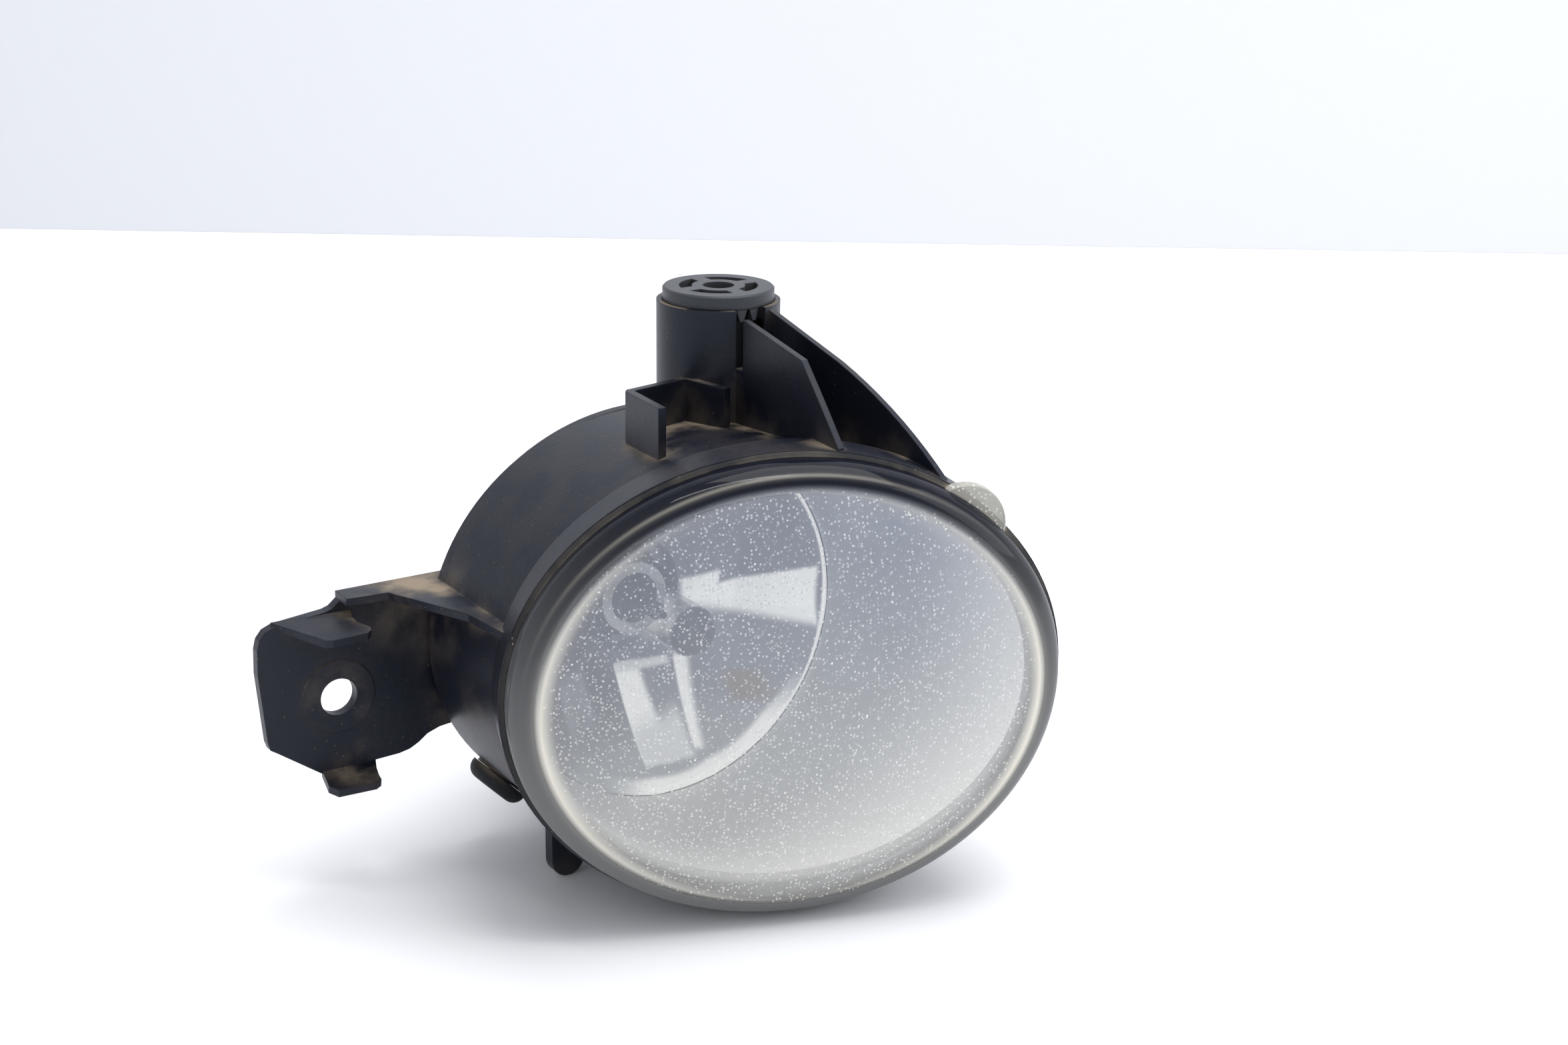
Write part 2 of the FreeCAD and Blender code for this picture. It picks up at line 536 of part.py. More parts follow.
def reflector_screws():
    for index, angle in enumerate(SCREW_ANGLES, start=1):
        where = screw_place(angle)
        shank = disc(f"shank_{index}", "Dims.screw_radius", "Dims.lug_y - 0.5",
                     "Dims.lug_y + Dims.screw_length", **where)
        head = disc(f"head_{index}", "Dims.head_radius", "Dims.lug_y - Dims.head_thick",
                    "Dims.lug_y", **where)
        drive = add("Part::Box", f"drive_{index}", Length="2.6", Width="0.8", Height="0.7",
                    x=where["x"] + " - 1.3", y="Dims.lug_y - Dims.head_thick - 0.1",
                    z=where["z"] + " - 0.35")
        cross = add("Part::Box", f"cross_{index}", Length="0.7", Width="0.8", Height="2.6",
                    x=where["x"] + " - 0.35", y="Dims.lug_y - Dims.head_thick - 0.1",
                    z=where["z"] + " - 1.3")
        screw = cut(f"screw_{index}", fuse(f"screw_solid_{index}", [shank, head]), [drive, cross])
        node(screw, f"reflector_screw_{index}")


def vent_cap():
    body = add("Part::Cylinder", "cap_body", Radius="Dims.vent_radius",
               Height="Dims.vent_reach - Dims.vent_base")
    doc.recompute()
    top = max(range(len(body.Shape.Edges)), key=lambda i: body.Shape.Edges[i].CenterOfMass.z)
    rounded = doc.addObject("Part::Fillet", "cap_rounded")
    rounded.Base = body
    rounded.Edges = [(top + 1, 2.9, 2.9)]
    socket = add("Part::Cylinder", "cap_socket", Radius="Dims.spigot_radius + 0.02", Height="3.2", z="-1")
    cap = cut("vent_cap", rounded, [socket])
    node(cap, "vent_cap", vent_turn())
    for key, expression in at_vent("Dims.vent_base").items():
        cap.setExpression(f"Placement.Base.{key}", f"Dims.lamp_{key} + {expression}")


# ---------------------------------------------------------------- adjuster wheel

def ring_pocket(body, name, inner, outer, half_gap, depth, top):
    """A quarter-ring window sketch between two spokes, cut down from a height."""
    sketch = sketch_on(body, name + "_outline", "XY_Plane", top)
    start_in, start_out = math.asin(half_gap / inner), math.asin(half_gap / outer)
    centre, up = FreeCAD.Vector(), FreeCAD.Vector(0, 0, 1)
    arcs = []
    for radius, start in ((inner, start_in), (outer, start_out)):
        circle = Part.Circle(centre, up, radius)
        arcs.append(Part.ArcOfCircle(circle, start, math.pi / 2 - start))
    ends = [(arc.StartPoint, arc.EndPoint) for arc in arcs]
    for arc in arcs:
        sketch.addGeometry(arc, False)
    sketch.addGeometry(Part.LineSegment(ends[0][0], ends[1][0]), False)
    sketch.addGeometry(Part.LineSegment(ends[0][1], ends[1][1]), False)
    for line, point in ((2, 1), (3, 2)):
        sketch.addConstraint(Sketcher.Constraint("Coincident", 0, point, line, 1))
        sketch.addConstraint(Sketcher.Constraint("Coincident", 1, point, line, 2))
    for arc in (0, 1):
        sketch.addConstraint(Sketcher.Constraint("Coincident", arc, 3, -1, 1))
    inner_size = sketch.addConstraint(Sketcher.Constraint("Radius", 0, inner))
    outer_size = sketch.addConstraint(Sketcher.Constraint("Radius", 1, outer))
    sketch.setExpression(f"Constraints[{inner_size}]", "Dims.window_inner")
    sketch.setExpression(f"Constraints[{outer_size}]", "Dims.window_radius")
    pocket = body.newObject("PartDesign::Pocket", name)
    pocket.Profile = sketch
    pocket.setExpression("Length", depth)
    return pocket


def repeat(body, name, feature, count):
    """A feature repeated round the upright axis."""
    pattern = body.newObject("PartDesign::PolarPattern", name)
    pattern.Originals = [feature]
    pattern.Axis = (plane(body, "Z_Axis"), [""])
    pattern.Angle = 360
    pattern.Occurrences = count
    body.Tip = pattern
    return pattern


def adjuster_wheel():
    body = doc.addObject("PartDesign::Body", "adjuster_wheel_body")
    section = sketch_on(body, "wheel_section", "XZ_Plane")
    collar_low = "Dims.wheel_top - Dims.collar_height"
    teeth_low = f"{collar_low} - Dims.tooth_depth"
    outline(section, [
        ("Dims.stud_radius", "Dims.post_floor + 0.15"), ("Dims.hub_radius", "Dims.post_floor + 0.15"),
        ("Dims.hub_radius", f"{collar_low}"), ("Dims.tooth_ring", f"{collar_low}"),
        ("Dims.tooth_ring", teeth_low), ("Dims.wheel_radius - 0.2", teeth_low),
        ("Dims.wheel_radius - 0.2", collar_low), ("Dims.wheel_radius", f"{collar_low} + 0.3"),
        ("Dims.wheel_radius", "Dims.wheel_top - 0.4"), ("Dims.wheel_radius - 0.4", "Dims.wheel_top"),
        ("Dims.stud_radius", "Dims.wheel_top"),
    ])
    blank = body.newObject("PartDesign::Revolution", "wheel_blank")
    blank.Profile = section
    blank.ReferenceAxis = (section, ["V_Axis"])
    blank.Angle = 360
    body.Tip = blank
    doc.recompute()
    full = body.Shape.Volume
    window = ring_pocket(body, "wheel_window", number("Dims.window_inner"), number("Dims.window_radius"),
                         number("Dims.spoke") / 2, "Dims.collar_height + 1", "Dims.wheel_top + 0.5")
    repeat(body, "wheel_windows", window, 4)
    gap = sketch_on(body, "tooth_gap_outline", "XZ_Plane", "0.8 - Dims.tooth_ring")
    half_root, half_tip = 0.35, 1.15
    outline(gap, [(str(-half_tip), teeth_low + " - 0.2"), (str(half_tip), teeth_low + " - 0.2"),
                  (str(half_root), collar_low), (str(-half_root), collar_low)])
    tooth_gap = body.newObject("PartDesign::Pocket", "tooth_gap")
    tooth_gap.Profile = gap
    tooth_gap.setExpression("Length", "Dims.wheel_radius - Dims.tooth_ring + 2")
    body.Tip = tooth_gap
    doc.recompute()
    repeat(body, "tooth_gaps", tooth_gap, int(number("Dims.teeth")))
    doc.recompute()
    if body.Shape.Volume > full - 1:
        raise RuntimeError("the wheel's windows and teeth cut nothing")
    node(body, "adjuster_wheel")
    body.setExpression("Placement.Base.x", "Dims.lamp_x + Dims.post_x")
    body.setExpression("Placement.Base.y", "Dims.lamp_y + Dims.post_y")


# ---------------------------------------------------------------- bulb

def bulb_glass():
    """The capsule: a hollow tube with a domed tip, pinched flat towards the base."""
    radius, tip, end, wall = (number("Dims." + key) for key in
                              ("glass_radius", "tip_y", "glass_end", "glass_wall"))

    def capsule(name, size, front, back):
        tube = disc(name + "_tube", str(size), str(front + size), str(back))
        dome = add("Part::Sphere", name + "_dome", Radius=str(size), y=str(front + size))
        return fuse(name, [tube, dome])

    outer = capsule("capsule_outer", radius, tip, end - 6)
    inner = capsule("capsule_inner", radius - wall, tip + wall, end - 8)
    pinch = add("Part::Box", "pinch", Length="9", Width="9", Height="3.2", x="-4.5",
                y=str(end - 7), z="-1.6")
    node(cut("bulb_glass", fuse("glass_solid", [outer, pinch]), [inner]), "bulb_glass")


def bulb_black_tip():
    """The opaque coat over the front of the capsule."""
    size = "Dims.glass_radius + Dims.coating"
    centre = "Dims.tip_y + Dims.glass_radius"
    tube = disc("coat_tube", size, centre, "Dims.coat_end")
    dome = add("Part::Sphere", "coat_dome", Radius=size, y=centre)
    bore = disc("coat_bore", "Dims.glass_radius", centre, "Dims.coat_end + 8")
    hollow = add("Part::Sphere", "coat_hollow", Radius="Dims.glass_radius", y=centre)
    node(cut("bulb_black_tip", fuse("coat_solid", [tube, dome]), [bore, hollow]), "bulb_black_tip")


def bulb_filament():
    """A coil along the light's axis."""
    helix = add("Part::Helix", "coil_line", UPRIGHT, Pitch="Dims.coil_pitch",
                Height="Dims.coil_length", Radius="Dims.coil_radius",
                y="Dims.filament_y + Dims.coil_length / 2")
    ring = add("Part::Circle", "coil_section", Radius="Dims.wire", x="Dims.coil_radius",
               y="Dims.filament_y + Dims.coil_length / 2")
    sweep = doc.addObject("Part::Sweep", "bulb_filament")
    sweep.Sections = [ring]
    sweep.Spine = (helix, [])
    sweep.Solid = True
    sweep.Frenet = True
    ring.Placement.Rotation = FreeCAD.Rotation()
    node(sweep, "bulb_filament")


def bulb_leads():
    """The two wires that carry the filament: a short one to its back, a long one to its front."""
    back = number("Dims.glass_end") - 8
    middle, half = number("Dims.filament_y"), number("Dims.coil_length") / 2
    lead, gap = number("Dims.lead"), number("Dims.coil_radius") + number("Dims.wire") + 0.06
    for index, (side, reach) in enumerate(((1, middle + half + 0.5), (-1, middle - half - 0.5)), start=1):
        offset = side * 2.6
        straight = Part.makeCylinder(lead, back - reach + lead, FreeCAD.Vector(offset, reach - lead, 0),
                                     FreeCAD.Vector(0, 1, 0))
        arm = Part.makeCylinder(0.8 * lead, 2.6, FreeCAD.Vector(offset, reach, 0),
                                FreeCAD.Vector(-side, 0, 0))
        if abs(reach - middle) < gap:
            raise RuntimeError("a lead wire would cross the coil")
        shape = straight.fuse(arm).removeSplitter()
        node(shaped(f"lead_{index}", shape), f"bulb_lead_wire_{index}")


def bulb_collar():
    """The sheet-metal cup that grips the pinch and stands in the base."""
    cup = disc("cup_outer", "Dims.cup_radius", "Dims.cup_front", "Dims.neck_front - 0.02")
    bore = add("Part::Box", "cup_slot", Length="9.1", Width="9", Height="3.3", x="-4.55",
               y="Dims.cup_front + 0.6", z="-1.65")
    throat = disc("cup_throat", "Dims.glass_radius + 0.1", "Dims.cup_front - 1", "Dims.cup_front + 1.2")
    hollow = disc("cup_hollow", "Dims.cup_radius - 0.8", "Dims.cup_front + 1.2", "Dims.neck_front + 1")
    node(cut("bulb_collar", cup, [bore, throat, hollow]), "bulb_collar")


def bulb_base():
    """The moulded base: neck with three bayonet keys, flange, and the plug socket pointing down."""
    body = turned("base_turned", [
        ("0", "Dims.neck_front"), ("Dims.neck_radius", "Dims.neck_front"),
        ("Dims.neck_radius", "Dims.ring_y - Dims.ring_thick - 0.3"),
        ("Dims.seal_bore - 0.15", "Dims.ring_y - Dims.ring_thick - 0.3"),
        ("Dims.seal_bore - 0.15", "Dims.ring_y - Dims.ring_thick"),
        ("Dims.ring_centre - Dims.ring_thick", "Dims.ring_y - Dims.ring_thick"),
        ("Dims.ring_centre - Dims.ring_thick", "Dims.flange_front"),
        ("Dims.flange_radius", "Dims.flange_front"),
        ("Dims.flange_radius", "Dims.flange_front + Dims.flange_thick"),
        ("Dims.body_radius", "Dims.flange_front + Dims.flange_thick"),
        ("Dims.body_radius", "Dims.body_end - 1"), ("Dims.body_radius - 1", "Dims.body_end"),
        ("0", "Dims.body_end"),
    ])
    keys = []
    for turn in (0, 120, 240):
        facing = UPRIGHT.multiply(FreeCAD.Rotation(FreeCAD.Vector(0, 0, 1), turn))
        key = add("Part::Box", f"key_{turn}", facing, Length="Dims.key_radius",
                  Width="Dims.key_width", Height="2.2",
                  x=f"sin({turn}) * Dims.key_width / 2", y="Dims.collar_front - 0.3",
                  z=f"-cos({turn}) * Dims.key_width / 2")
        keys.append(key)
    plug = add("Part::Box", "plug", Length="2 * Dims.plug_half", Width="13.4", Height="-Dims.plug_end",
               x="-Dims.plug_half", y="Dims.body_end - 13.4", z="Dims.plug_end")
    socket = add("Part::Box", "plug_socket", Length="2 * (Dims.plug_half - Dims.plug_wall)",
                 Width="13.4 - 2 * Dims.plug_wall", Height="20", x="-Dims.plug_half + Dims.plug_wall",
                 y="Dims.body_end - 13.4 + Dims.plug_wall", z="Dims.plug_end - 1")
    latch = add("Part::Wedge", "plug_latch", x="-2.5", y="Dims.body_end", z="Dims.plug_end + 3")
    latch.Xmin, latch.Xmax, latch.Ymin, latch.Ymax, latch.Zmin, latch.Zmax = 0, 5, 0, 1.6, 0, 6
    latch.X2min, latch.X2max, latch.Z2min, latch.Z2max = 0, 5, 3, 6
    grip = [add("Part::Box", f"grip_{side}", Length="3", Width="9", Height="12",
                x=f"{side} * (Dims.body_radius + 1) - 1.5", y="Dims.body_end - 12", z="-6")
            for side in (-1, 1)]
    recess = [disc("cup_seat", "Dims.cup_radius + 0.05", "Dims.neck_front - 2", "Dims.neck_front + 0.01")]
    whole = cut("bulb_base", fuse("base_solid", [body, *keys, plug, latch, *grip]), [socket, *recess])
    node(whole, "bulb_base")


def bulb_o_ring():
    ring = add("Part::Torus", "bulb_o_ring", UPRIGHT, Radius1="Dims.ring_centre", Radius2="Dims.ring_thick")
    node(ring, "bulb_o_ring", UPRIGHT)
    ring.setExpression("Placement.Base.y", "Dims.lamp_y + Dims.ring_y")


def bulb_terminals():
    for index, side in enumerate((-1, 1), start=1):
        blade = add("Part::Box", f"terminal_{index}", Length="2.8", Width="0.8",
                    Height="Dims.pin_end * -1 + Dims.plug_end + 19", x="0", y="0", z="0")
        node(blade, f"bulb_terminal_{index}")
        blade.setExpression("Placement.Base.x", f"Dims.lamp_x + {side} * 3 - 1.4")
        blade.setExpression("Placement.Base.y", "Dims.lamp_y + Dims.body_end - 8.5")
        blade.setExpression("Placement.Base.z", "Dims.lamp_z + Dims.pin_end")


def check_and_write():
    """Stops on anything that failed, then writes one file for each sub-part."""
    doc.recompute()
    failed = [o.Name for o in doc.Objects if any(word in o.State for word in ("Invalid", "Error"))]
    if failed:
        raise RuntimeError(f"failed to compute: {failed}")
    os.makedirs("parts", exist_ok=True)
    for thing in nodes:
        shape = thing.Shape
        if shape.isNull() or not shape.isValid() or not shape.Solids:
            raise RuntimeError(f"{thing.Label} has no valid solid")
    for thing in nodes:
        thing.Shape.exportStep(os.path.join("parts", thing.Label + ".step"))
        box = thing.Shape.BoundBox
        print(f"{thing.Label}: {len(thing.Shape.Solids)} solid(s), {thing.Shape.Volume:.0f} mm3, "
              f"x {box.XMin:.2f}..{box.XMax:.2f} y {box.YMin:.2f}..{box.YMax:.2f} "
              f"z {box.ZMin:.2f}..{box.ZMax:.2f}")


housing()
lens()
lens_seal()
bezel()
reflector()
reflector_screws()
vent_cap()
adjuster_wheel()
bulb_glass()
bulb_black_tip()
bulb_filament()
bulb_leads()
bulb_collar()
bulb_base()
bulb_o_ring()
bulb_terminals()
check_and_write()
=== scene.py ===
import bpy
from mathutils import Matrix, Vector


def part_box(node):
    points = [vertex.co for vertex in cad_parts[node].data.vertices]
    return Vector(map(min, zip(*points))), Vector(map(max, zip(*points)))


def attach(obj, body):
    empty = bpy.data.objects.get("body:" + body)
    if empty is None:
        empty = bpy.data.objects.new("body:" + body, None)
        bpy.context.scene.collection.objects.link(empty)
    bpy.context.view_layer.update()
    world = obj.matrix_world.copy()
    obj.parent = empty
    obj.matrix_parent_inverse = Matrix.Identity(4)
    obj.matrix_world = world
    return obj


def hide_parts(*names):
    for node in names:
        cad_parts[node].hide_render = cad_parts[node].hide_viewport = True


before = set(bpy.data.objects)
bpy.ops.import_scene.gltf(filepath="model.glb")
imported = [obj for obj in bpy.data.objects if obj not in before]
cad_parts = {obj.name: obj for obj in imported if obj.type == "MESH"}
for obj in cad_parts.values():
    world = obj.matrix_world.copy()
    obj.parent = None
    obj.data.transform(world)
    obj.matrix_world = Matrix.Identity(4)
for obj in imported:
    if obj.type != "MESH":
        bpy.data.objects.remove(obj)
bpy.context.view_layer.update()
import math

import bpy
from mathutils import Matrix, Vector

MM = 0.001
SOFT_EDGE = 0.35      # mm, the rounding that the moulded plastic's edges are shaded with
LENS_LONG = 59.6      # mm, half the lens's outline along its long axis
LENS_TALL = 50.6      # mm, half the lens's outline upwards
BOWL_RIM = 42.1       # mm, the bowl's radius at its front
BOWL_HOLE = 14.2      # mm, the radius of the bulb's hole in the bowl
SWEEP = math.radians(20)                                   # the flange face is turned this far
ACROSS = Vector((math.cos(SWEEP), -math.sin(SWEEP), 0))    # along the oval's long axis
AHEAD = Vector((-math.sin(SWEEP), -math.cos(SWEEP), 0))    # square to the flange face, forwards

# the lamp's own reference point, where the light's axis meets the flange face
post_low, post_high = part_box("adjuster_wheel")
LAMP = Vector(((post_low.x + post_high.x) / 2 - 13.1 * MM, (post_low.y + post_high.y) / 2 - 48.4 * MM,
               post_high.z - 75.8 * MM))


def at(x, y, z):
    """A point given in mm from the lamp's reference point."""
    return LAMP + Vector((x, y, z)) * MM


def swept(u, t, z):
    """A point given along the oval's long axis, ahead of the flange face, and up."""
    return LAMP + (ACROSS * u + AHEAD * t) * MM + Vector((0, 0, z * MM))


# ---------------------------------------------------------------- materials

def new_material(name):
    material = bpy.data.materials.new(name)
    material.use_nodes = True
    material.node_tree.nodes.clear()
    return material, material.node_tree


def link(tree, source, target):
    tree.links.new(source, target)


def node(tree, kind, **values):
    """A shader node; values name its properties or its inputs."""
    made = tree.nodes.new(kind)
    for key, value in values.items():
        if key in made.inputs.keys():
            made.inputs[key].default_value = value
        else:
            setattr(made, key, value)
    return made


def object_axes(tree):
    """The X, Y and Z of the shaded point in the object's own space."""
    place = node(tree, "ShaderNodeTexCoord")
    axes = node(tree, "ShaderNodeSeparateXYZ")
    link(tree, place.outputs["Object"], axes.inputs[0])
    return axes.outputs


def ramp(tree, value, low, high, top=1.0, smooth=True):
    """0 where the value is low, rising (or falling) to top where it is high."""
    kind = "SMOOTHSTEP" if smooth else "LINEAR"
    span = node(tree, "ShaderNodeMapRange", interpolation_type=kind)
    span.inputs["From Min"].default_value = low
    span.inputs["From Max"].default_value = high
    span.inputs["To Max"].default_value = top
    link(tree, value, span.inputs["Value"])
    return span.outputs["Result"]


def noise(tree, scale, detail, low, high):
    """Noise in the object's own space, with its contrast set by low and high."""
    coordinates = node(tree, "ShaderNodeTexCoord")
    cloud = node(tree, "ShaderNodeTexNoise", Scale=scale, Detail=detail)
    link(tree, coordinates.outputs["Object"], cloud.inputs["Vector"])
    return ramp(tree, cloud.outputs["Fac"], low, high, smooth=False)


def math_node(tree, operation, *values):
    """A sum in the material; each value is a number or another node's output."""
    made = node(tree, "ShaderNodeMath", operation=operation)
    for socket, value in zip(made.inputs, values):
        if isinstance(value, (int, float)):
            socket.default_value = value
        else:
            link(tree, value, socket)
    return made.outputs["Value"]


def blend_colour(tree, factor, first, second):
    """The first colour where the factor is 0 and the second where it is 1."""
    mix = node(tree, "ShaderNodeMix", data_type="RGBA")
    for socket, value in ((mix.inputs[6], first), (mix.inputs[7], second)):
        if isinstance(value, tuple):
            socket.default_value = value
        else:
            link(tree, value, socket)
    link(tree, factor, mix.inputs[0])
    return mix.outputs[2]


def output(tree, shader):
    out = node(tree, "ShaderNodeOutputMaterial")
    link(tree, shader, out.inputs["Surface"])


def plain(name, colour, roughness, metallic=0.0):
    material, tree = new_material(name)
    surface = node(tree, "ShaderNodeBsdfPrincipled", Roughness=roughness, Metallic=metallic)
    surface.inputs["Base Color"].default_value = (*colour, 1)
    output(tree, surface.outputs[0])
    return material


def dusty(name, colour, roughness, amount, dust=(0.3, 0.24, 0.17, 1), spots=()):
    """Moulded plastic with grain, softened edges and dust in its corners and at given spots.

    Each spot is ((x, y, z), reach, strength), in mm from the lamp's reference point.
    """
    material, tree = new_material(name)
    surface = node(tree, "ShaderNodeBsdfPrincipled")
    surface.inputs["Specular IOR Level"].default_value = 0.35
    surface.inputs["Specular Tint"].default_value = (0.84, 0.88, 1, 1)
    patches = noise(tree, 110, 8, 0.4, 0.62)
    # dust gathers in corners and lies on what faces up
    shade = node(tree, "ShaderNodeAmbientOcclusion", Distance=0.009)
    corner = ramp(tree, shade.outputs["AO"], 0.86, 0.5, smooth=False)
    facing = node(tree, "ShaderNodeNewGeometry")
    axes = node(tree, "ShaderNodeSeparateXYZ")
    link(tree, facing.outputs["Normal"], axes.inputs[0])
    upward = math_node(tree, "MAXIMUM", axes.outputs["Z"], 0.1)
    held = math_node(tree, "MINIMUM", math_node(tree, "MULTIPLY", upward, 1.6), 1)
    settled = math_node(tree, "MULTIPLY", math_node(tree, "MULTIPLY", corner, patches), held)
    # the spots lie thinner on upright faces
    lying = math_node(tree, "MAXIMUM", axes.outputs["Z"], 0.28)
    place = node(tree, "ShaderNodeTexCoord")
    for centre, reach, strength in spots:
        apart = node(tree, "ShaderNodeVectorMath", operation="DISTANCE")
        link(tree, place.outputs["Object"], apart.inputs[0])
        apart.inputs[1].default_value = at(*centre)
        close = ramp(tree, apart.outputs["Value"], reach * MM, reach * MM * 0.3, strength)
        patch = math_node(tree, "MULTIPLY", math_node(tree, "MULTIPLY", close, patches), lying)
        settled = math_node(tree, "MAXIMUM", settled, patch)
    film = math_node(tree, "MULTIPLY", math_node(tree, "MULTIPLY", patches, upward), 0.05)
    dots = math_node(tree, "MULTIPLY", specks(tree, 620, 0.12, 0.3), 0.22)
    mask = math_node(tree, "ADD", math_node(tree, "ADD", settled, film), dots)
    mask = math_node(tree, "MINIMUM", math_node(tree, "MULTIPLY", mask, amount), 0.9)
    link(tree, blend_colour(tree, mask, (*colour, 1), dust), surface.inputs["Base Color"])
    rough = math_node(tree, "ADD", roughness, math_node(tree, "MULTIPLY", mask, 0.5))
    link(tree, rough, surface.inputs["Roughness"])
    grain = node(tree, "ShaderNodeBump", Strength=0.1, Distance=0.0002)
    link(tree, noise(tree, 900, 3, 0.3, 0.7), grain.inputs["Height"])
    soft = node(tree, "ShaderNodeBevel", samples=4, Radius=SOFT_EDGE * MM)
    link(tree, soft.outputs["Normal"], grain.inputs["Normal"])
    link(tree, grain.outputs["Normal"], surface.inputs["Normal"])
    output(tree, surface.outputs[0])
    return material


def attribute(tree, name):
    """The number that weigh() stored on the mesh under this name."""
    return node(tree, "ShaderNodeAttribute", attribute_name=name).outputs["Fac"]


def specks(tree, scale, size, share):
    """Small round specks in the given share of the cells of a scatter."""
    coordinates = node(tree, "ShaderNodeTexCoord")
    cells = node(tree, "ShaderNodeTexVoronoi", Scale=scale)
    link(tree, coordinates.outputs["Object"], cells.inputs["Vector"])
    chance = node(tree, "ShaderNodeSeparateColor")
    link(tree, cells.outputs["Color"], chance.inputs[0])
    near = math_node(tree, "LESS_THAN", cells.outputs["Distance"], size)
    kept = math_node(tree, "LESS_THAN", chance.outputs[0], share)
    return math_node(tree, "MULTIPLY", near, kept)


def height_ramp(tree, low, high):
    """0 at the low height and 1 at the high height, in metres in the frame."""
    return ramp(tree, object_axes(tree)["Z"], low, high)


def clear(name, tint, haze, lit_low_haze, shaded_high_haze, dusted=True, rim=None):
    """Clear moulding: light passes straight through, with a sheen and a film of dust.

    A rim colour gives it a painted dark edge, in place of the shade in its rounded rim, and the pale
    ring and streak stored on its mesh are painted light.
    """
    material, tree = new_material(name)
    through = node(tree, "ShaderNodeBsdfTransparent", Color=(*tint, 1))
    sheen = node(tree, "ShaderNodeBsdfGlossy", Roughness=0.06)
    fresnel = node(tree, "ShaderNodeFresnel", IOR=1.42)
    glass = node(tree, "ShaderNodeMixShader")
    # seen from inside the wall the Fresnel node turns to a full mirror, so it is held back there
    facing = node(tree, "ShaderNodeNewGeometry")
    inside = math_node(tree, "MULTIPLY", facing.outputs["Backfacing"], 0.5 if dusted else 1)
    outside = math_node(tree, "SUBTRACT", 1, inside)
    link(tree, math_node(tree, "MULTIPLY", fresnel.outputs[0], outside), glass.inputs[0])
    link(tree, through.outputs[0], glass.inputs[1])
    link(tree, sheen.outputs[0], glass.inputs[2])
    film = node(tree, "ShaderNodeBsdfDiffuse")
    # painted light and shade: the dust film is pale and warm low down and blue-grey high up, as the
    # lens is lit
    colour = blend_colour(tree, height_ramp(tree, 0.0, 0.095), (*lit_low_haze, 1), (*shaded_high_haze, 1))
    amount = math_node(tree, "MULTIPLY_ADD", noise(tree, 22, 3, 0.3, 0.7), 0.3 * haze, 0.8 * haze)
    if dusted:
        fine = math_node(tree, "MULTIPLY", specks(tree, 1250, 0.3, 0.5), 0.4)
        coarse = math_node(tree, "MULTIPLY", specks(tree, 560, 0.12, 0.35), 0.6)
        dots = math_node(tree, "ADD", fine, coarse)
        amount = math_node(tree, "ADD", amount, dots)
        colour = blend_colour(tree, dots, colour, (0.95, 0.94, 0.9, 1))
    if rim:
        # painted shade: near its rim the lens lets less light through and carries less film, and its
        # film turns dark there, paler low down
        near_rim = attribute(tree, "rim")
        rim_shade_tint = blend_colour(tree, near_rim, (*tint, 1), (0.13, 0.135, 0.17, 1))
        link(tree, rim_shade_tint, through.inputs["Color"])
        rim_haze_cut = math_node(tree, "SUBTRACT", 1, math_node(tree, "MULTIPLY", near_rim, 0.8))
        amount = math_node(tree, "MULTIPLY", amount, rim_haze_cut)
        band = blend_colour(tree, height_ramp(tree, 0.03, 0.1), (0.32, 0.32, 0.32, 1), (*rim, 1))
        colour = blend_colour(tree, near_rim, colour, band)
        amount = math_node(tree, "MAXIMUM", amount, math_node(tree, "MULTIPLY", near_rim, 0.45))
        # painted light: a pale ring where the lit bezel edge shows through, and a highlight streak
        # along the top, both laid on as film colour
        painted_glow = attribute(tree, "painted_glow")
        colour = blend_colour(tree, painted_glow, colour, (0.92, 0.87, 0.74, 1))
        amount = math_node(tree, "MAXIMUM", amount, painted_glow)
    link(tree, colour, film.inputs["Color"])
    final = node(tree, "ShaderNodeMixShader")
    link(tree, math_node(tree, "MINIMUM", amount, 1), final.inputs[0])
    link(tree, glass.outputs[0], final.inputs[1])
    link(tree, film.outputs[0], final.inputs[2])
    output(tree, final.outputs[0])
    return material


def satin(name):
    """Satin silver paint with painted light: lit pale and warm low down, shaded blue-grey high up,
    and palest round its front edge, which emits light.
    """
    material, tree = new_material(name)
    surface = node(tree, "ShaderNodeBsdfPrincipled", Roughness=0.42, Metallic=0.2)
    edge = attribute(tree, "edge")
    # painted light and shade: cream low down, blue-grey high up
    tone = blend_colour(tree, height_ramp(tree, 0.012, 0.088),
                        (0.97, 0.965, 0.93, 1), (0.6, 0.64, 0.72, 1))
    # painted light: the front edge is made near white and emits light, though the bezel is no lamp
    tone = blend_colour(tree, edge, tone, (1, 0.985, 0.93, 1))
    link(tree, tone, surface.inputs["Base Color"])
    link(tree, tone, surface.inputs["Emission Color"])
    link(tree, math_node(tree, "MULTIPLY", edge, 0.5), surface.inputs["Emission Strength"])
    output(tree, surface.outputs[0])
    return material


def field(tree, x, z, *edges):
    """1 inside a convex field; each edge is (a, b, c, soft), kept where a x + b z > c."""
    inside = 1
    for a, b, limit, soft in edges:
        reach = math_node(tree, "MULTIPLY_ADD", x, a, math_node(tree, "MULTIPLY", z, b))
        kept = ramp(tree, reach, limit - soft, limit + soft)
        inside = math_node(tree, "MULTIPLY", inside, kept)
    return inside


def in_mm(tree, place, centre):
    """A coordinate in metres as mm from the centre."""
    return math_node(tree, "MULTIPLY", math_node(tree, "SUBTRACT", place, centre), 1 / MM)


